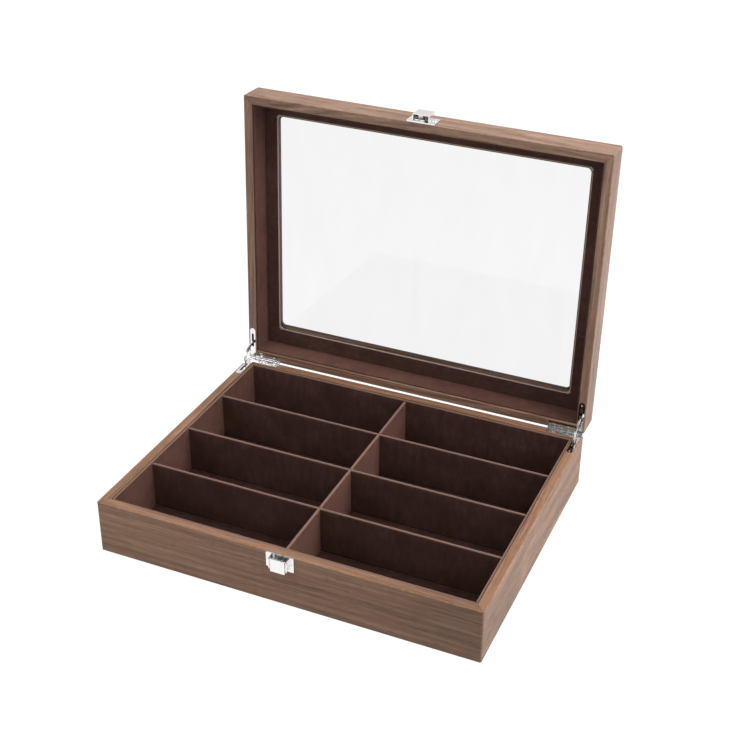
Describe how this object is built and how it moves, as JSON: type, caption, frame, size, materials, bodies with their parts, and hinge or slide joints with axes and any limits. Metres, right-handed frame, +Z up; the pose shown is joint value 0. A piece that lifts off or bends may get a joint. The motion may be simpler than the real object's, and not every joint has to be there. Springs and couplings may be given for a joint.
{
  "type": "glasses organizer box",
  "caption": "Wooden glasses organizer box with velvet-lined compartments and a hinged lid with a clear window, quadrant hinges and a front push latch.",
  "frame": {"origin": "centre of the base's underside, on the surface that the box stands on", "axes": "+X to the right along the hinge line, +Y from the latch to the hinges, +Z up"},
  "size_m": [0.335, 0.3014, 0.3171],
  "materials": {
    "walnut": "satin open-grain veneer",
    "board": "raw fibreboard",
    "velvet": "short-pile velvet",
    "felt": "felt",
    "window": "clear polished",
    "chrome": "polished plate"
  },
  "bodies": {
    "base": {"base_front_wall": "walnut", "base_rear_wall": "walnut", "base_left_wall": "walnut", "base_right_wall": "walnut", "bottom_felt": "felt", "bottom_board": "board", "floor_pad": "velvet", "base_liner_front": "velvet", "base_liner_rear": "velvet", "base_liner_left": "velvet", "base_liner_right": "velvet", "centre_divider": "velvet", "cross_divider_front": "velvet", "cross_divider_middle": "velvet", "cross_divider_rear": "velvet", "left_hinge_base_leaf": "chrome", "right_hinge_base_leaf": "chrome", "left_hinge_pin": "chrome", "right_hinge_pin": "chrome", "hinge_base_screws": "chrome", "latch_plate": "chrome", "latch_pin": "chrome", "latch_spring": "chrome", "latch_nails": "chrome"},
    "lid": {"lid_front_wall": "walnut", "lid_rear_wall": "walnut", "lid_left_wall": "walnut", "lid_right_wall": "walnut", "lid_window_frame": "walnut", "lid_velvet_frame": "velvet", "window_pane": "window", "lid_liner_front": "velvet", "lid_liner_rear": "velvet", "lid_liner_left": "velvet", "lid_liner_right": "velvet", "left_hinge_lid_leaf": "chrome", "right_hinge_lid_leaf": "chrome", "hinge_lid_screws": "chrome", "lid_catch": "chrome", "catch_nails": "chrome"},
    "left_quadrant": {"left_hinge_quadrant": "chrome"},
    "right_quadrant": {"right_hinge_quadrant": "chrome"},
    "latch_lever": {"latch_lever": "chrome"}
  },
  "joints": [
    {"name": "lid_hinge", "type": "hinge", "parent": "base", "child": "lid", "pos_m": [0, 0.13045, 0.04935], "axis": [1, 0, 0], "range_deg": [0, 92]},
    {"name": "left_quadrant_swing", "type": "hinge", "parent": "base", "child": "left_quadrant", "pos_m": [0, 0.13045, 0.04935], "axis": [1, 0, 0], "range_deg": [0, 46]},
    {"name": "right_quadrant_swing", "type": "hinge", "parent": "base", "child": "right_quadrant", "pos_m": [0, 0.13045, 0.04935], "axis": [1, 0, 0], "range_deg": [0, 46]},
    {"name": "latch_press", "type": "hinge", "parent": "base", "child": "latch_lever", "pos_m": [0, -0.133, 0.0395], "axis": [1, 0, 0], "range_deg": [0, 12], "stiffness_Nm_per_rad": 0.005, "springref_deg": -11.46}
  ],
  "couplings": [
    {"joint": "left_quadrant_swing", "follows": "lid_hinge", "ratio": 0.5},
    {"joint": "right_quadrant_swing", "follows": "lid_hinge", "ratio": 0.5}
  ]
}
